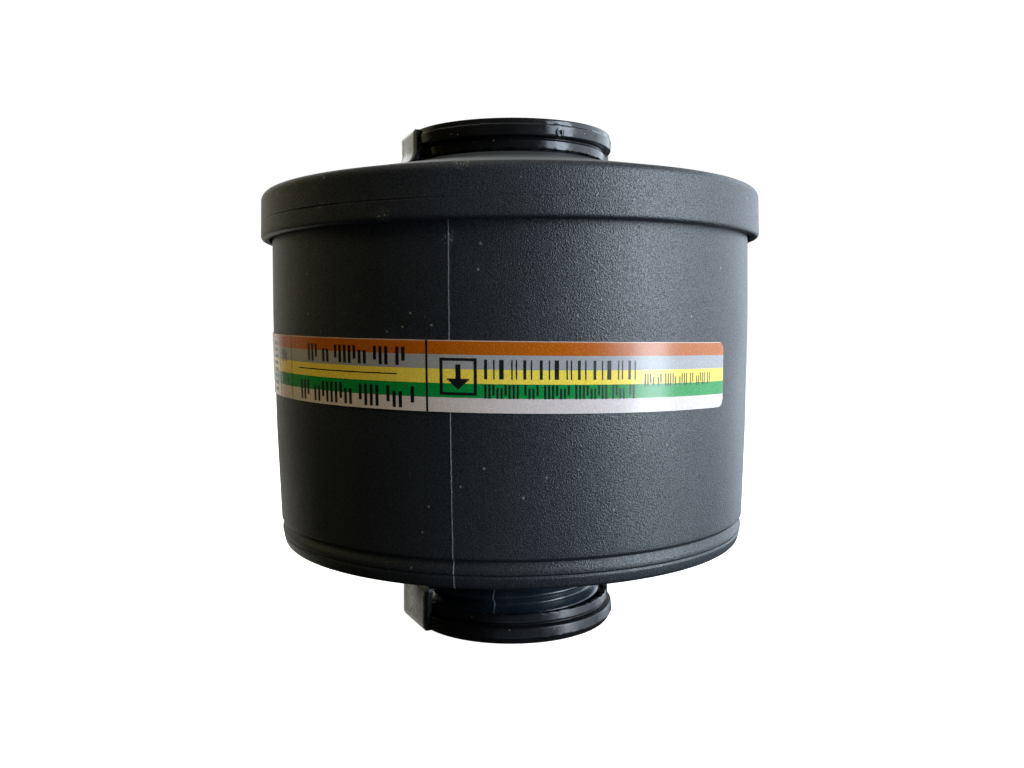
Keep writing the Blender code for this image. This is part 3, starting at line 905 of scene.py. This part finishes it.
def label_print():
    """Black marks that stand for the print, with no lettering: a framed arrow, strokes and bar codes.

    Across, places are in degrees right of the front; upwards, they are in mm from the label's middle.
    """
    work = bmesh.new()
    sunk = 0.004
    ink = 0.012
    lift = LABEL_LIFT + LABEL_THICKNESS - sunk
    half = LABEL_WIDTH / 2
    degree = math.radians(1)
    mm_per_degree = cup_radius(LABEL_MIDDLE_Z) * degree

    def mark(left, right, bottom, top):
        label_patch(work, left * degree, right * degree, bottom, top, lift, ink)

    def bar_code(left, right, bottom, top, unit, steps):
        """Full-height bars and gaps; steps are their widths in turn, in multiples of unit mm."""
        place, turn = left, 0
        while True:
            bar = steps[turn % len(steps)] * unit / mm_per_degree
            gap = steps[(turn + 1) % len(steps)] * unit / mm_per_degree
            if place + bar > right:
                break
            mark(place, place + bar, bottom, top)
            place += bar + gap
            turn += 2

    def stroke_code(left, right, bottom, top, pitch, stroke, groups):
        """Strokes in groups with a gap after each; some lack a quarter at the top or the bottom."""
        size = top - bottom
        width = stroke / mm_per_degree
        reaches = ((0, 1), (0.25, 1), (0, 0.75), (0, 1), (0, 1), (0, 0.75), (0.25, 1))
        place, count, group = left, 0, 0
        while place + width < right:
            for _ in range(groups[group % len(groups)]):
                low, high = reaches[count * 3 % len(reaches)]
                if place + width < right:
                    mark(place, place + width, bottom + low * size, bottom + high * size)
                place += pitch / mm_per_degree
                count += 1
            place += 0.9 * pitch / mm_per_degree
            group += 1

    for middle, width in PANEL_RULES:
        mark(middle - width / 2, middle + width / 2, -half + 0.02, half - 0.02)
    # An arrow along the air's way, in a frame
    frame_left, frame_right, frame_bottom, frame_top = -13.6, -6.4, -3.3, 3.2
    mark(frame_left, frame_right, frame_top - 0.5, frame_top)
    mark(frame_left, frame_right, frame_bottom, frame_bottom + 0.5)
    mark(frame_left, frame_left + 0.6, frame_bottom + 0.5, frame_top - 0.5)
    mark(frame_right - 0.6, frame_right, frame_bottom + 0.5, frame_top - 0.5)
    arrow_middle = (frame_left + frame_right) / 2
    mark(arrow_middle - 0.5, arrow_middle + 0.5, -0.6, 2.1)
    for step in range(6):
        reach = 0.3 + 0.37 * step
        level = -2.2 + 0.3 * step
        mark(arrow_middle - reach, arrow_middle + reach, level, level + 0.3)
    # Right panel: a bar code, a row of strokes under it, and a short row at its end
    bar_code(-5.0, 25.2, -0.4, 3.0, 0.26, (2, 4, 1, 3, 3, 5, 1, 2, 1, 4, 2, 3, 1, 5))
    stroke_code(-5.0, 25.2, -3.8, -1.3, 0.70, 0.38, (9, 4, 7))
    stroke_code(27.0, 46.0, -1.7, 0.6, 0.60, 0.28, (4, 2, 5))
    # Middle panel: two rows of strokes with a rule between
    stroke_code(-47.0, -20.6, 1.7, 5.0, 1.20, 0.66, (3, 2, 7))
    mark(-51.0, -22.5, 0.05, 0.27)
    stroke_code(-50.3, -17.6, -5.8, -2.0, 1.25, 0.66, (3, 9, 4))
    # Left panels: narrow columns of strokes, a ladder of short rules, and rows for the side and back
    stroke_code(-60.8, -56.2, -3.6, -1.2, 0.8, 0.4, (3,))
    stroke_code(-60.8, -56.2, 1.0, 3.4, 0.8, 0.4, (4,))
    for index in range(8):
        mark(-68.6, -65.0, -5.4 + 1.35 * index, -4.7 + 1.35 * index)
    for left, right in ((-95.0, -74.0), (-133.0, -101.0), (-176.0, -139.0)):
        stroke_code(left, right, 2.2, 4.6, 0.9, 0.42, (5, 8))
        stroke_code(left, right, -1.2, 1.2, 0.9, 0.42, (7, 3))
        bar_code(left, right, -4.9, -2.4, 0.26, (1, 2, 3, 1, 1, 3, 2, 2))
    finish_patch("label_print", work, ink_material())


# ---------------------------------------------------------------- filter stack


def filter_stack():
    """The CAD solids inside keep their shapes; each gets the finish of its material."""
    finishes = {
        "seal_rubber": plain_material("seal_rubber", (0.02, 0.02, 0.02), 0.62, 900, 0.05),
        "wad_foam": plain_material("wad_foam", (0.68, 0.68, 0.66), 0.75, 1500, 0.10, 0.05),
        "grid_plastic": plain_material("grid_plastic", (0.58, 0.58, 0.56), 0.42, 700, 0.04, 0.04),
        "filter_paper": plain_material("filter_paper", (0.78, 0.78, 0.74), 0.88, 2600, 0.12, 0.06),
        "potting_resin": plain_material("potting_resin", (0.60, 0.48, 0.27), 0.26, 160, 0.20, 0.10),
        "felt": plain_material("felt", (0.70, 0.70, 0.67), 0.92, 1700, 0.22, 0.08, Sheen_Weight=0.4),
        "spring_steel": plain_material(
            "spring_steel", (0.45, 0.45, 0.46), 0.32, 600, 0.02, 0.06, Metallic=1.0
        ),
        "granules": granule_material(),
    }
    for part in frame["record"]["subparts"]:
        made = finishes.get(part["material_slot"])
        if made:
            data = frame["nodes"][part["node"]].data
            data.materials.clear()
            data.materials.append(made)


# ---------------------------------------------------------------- stage

BACKDROP_RADIUS = 6.0
FLOOR_RADIUS = 5.5
EYE = (0, -212.5, 66.9)
EYE_ROLL = math.radians(0.355)
LENS = 32.37


def panel(name, azimuth, elevation, distance, width, height, radiance, colour, mirrored=True):
    """A soft box that faces the object, azimuth degrees to the right of the front.

    One that isn't mirrored lights matt surfaces only and shows in no reflection.
    """
    light = bpy.data.lights.new(name, "AREA")
    light.shape = "RECTANGLE"
    light.size, light.size_y = width, height
    light.energy = radiance * math.pi * width * height
    light.color = colour
    angle = FRONT + math.radians(azimuth)
    rise = math.radians(elevation)
    target = Vector((0, 0, HEIGHT / 2 * MM))
    place = target + distance * Vector(
        (math.cos(rise) * math.cos(angle), math.cos(rise) * math.sin(angle), math.sin(rise))
    )
    lamp = bpy.data.objects.new(name, light)
    lamp.location = place
    lamp.visible_camera = False
    lamp.visible_glossy = mirrored
    lamp.rotation_euler = (target - place).to_track_quat("-Z", "Y").to_euler()
    bpy.context.scene.collection.objects.link(lamp)


def stage():
    """Pale floor that runs into a pale backdrop, and soft boxes as for a room with a window on the right.

    Each panel has an azimuth, elevation, distance, width, height, radiance and colour.
    """
    cool = (0.78, 0.885, 1.0)
    panel("window_left_pane", 50, 14, 1.0, 0.26, 0.6, 8.9, cool)
    panel("window_right_pane", 65, 11, 1.0, 0.30, 1.0, 15.0, cool)
    panel("window_side", 92, 13, 1.0, 0.56, 1.0, 2.9, cool)
    panel("right_wall", 130, 12, 1.0, 0.72, 1.1, 2.9, cool)
    panel("left_wall", -153, 14, 1.0, 0.70, 0.80, 0.95, (1.0, 0.98, 0.90))
    panel("left_fill", -116, 17, 1.0, 0.50, 0.7, 0.43, (1.0, 0.92, 0.58))
    panel("back_wall", 180, 28, 1.0, 1.1, 0.6, 0.9, (0.95, 1.0, 1.0))
    panel("floor_right", 76, -22, 1.0, 0.85, 0.3, 1.2, cool)
    panel("floor_front", 8, -22, 1.0, 0.9, 0.3, 0.6, (0.62, 0.83, 1.0))
    panel("floor_left", -144, -20, 1.0, 0.45, 0.35, 1.1, (1.0, 0.97, 0.88))
    panel("ceiling", 0, 90, 0.9, 1.3, 1.3, 0.45, (1.0, 0.97, 0.88))
    panel("room_fill", -70, 45, 1.0, 0.5, 0.5, 4.6, (1.0, 0.75, 0.30), False)
    panel("front_fill", 0, 55, 1.0, 0.5, 0.5, 1.4, (1.0, 0.95, 0.60), False)
    world = bpy.data.worlds.new("Room")
    bpy.context.scene.world = world
    world.use_nodes = True
    world.node_tree.nodes["Background"].inputs["Color"].default_value = (0.012, 0.012, 0.007, 1)
    work = bmesh.new()
    bmesh.ops.create_uvsphere(work, u_segments=48, v_segments=24, radius=BACKDROP_RADIUS)
    backdrop = bpy.data.meshes.new("backdrop")
    work.to_mesh(backdrop)
    work.free()
    work = bmesh.new()
    bmesh.ops.create_circle(work, cap_ends=True, segments=64, radius=FLOOR_RADIUS)
    ground = bpy.data.meshes.new("floor")
    work.to_mesh(ground)
    work.free()
    for mesh, glow in ((backdrop, 1.0), (ground, 0.985)):
        pale = new_material(f"pale_{mesh.name}", (0.9, 0.9, 0.9), 1.0, Specular_IOR_Level=0.0)
        shader_of(pale).inputs["Emission Color"].default_value = (1, 1, 1, 1)
        shader_of(pale).inputs["Emission Strength"].default_value = glow
        screen = add_piece(mesh.name, mesh)
        mesh.materials.append(pale)
        screen.visible_diffuse = False
        screen.visible_glossy = False
        screen.visible_shadow = False


def camera():
    """Camera that looks level from a little above the middle, its frame shifted down instead."""
    data = bpy.data.cameras.new("camera")
    data.sensor_width = 36.0
    data.lens = LENS
    data.shift_x = 0.0015
    data.shift_y = -0.0612
    eye = bpy.data.objects.new("camera", data)
    eye.location = Vector(EYE) * MM
    eye.rotation_euler = (math.radians(90), EYE_ROLL, 0)
    data.clip_start = 0.01
    data.clip_end = 50
    bpy.context.scene.collection.objects.link(eye)
    bpy.context.scene.camera = eye
    bpy.context.scene.view_settings.view_transform = "Standard"


charcoal = charcoal_material(False)
charcoal_seamed = charcoal_material(True)
polished = neck_material()
glossy_black = soft_black_material("soft_black", 0.14, 0.30)
satin_black = soft_black_material("satin_black", 0.25, 0.40)
canister_body()
canister_lid()
caps()
identification_label()
label_print()
filter_stack()
stage()
camera()
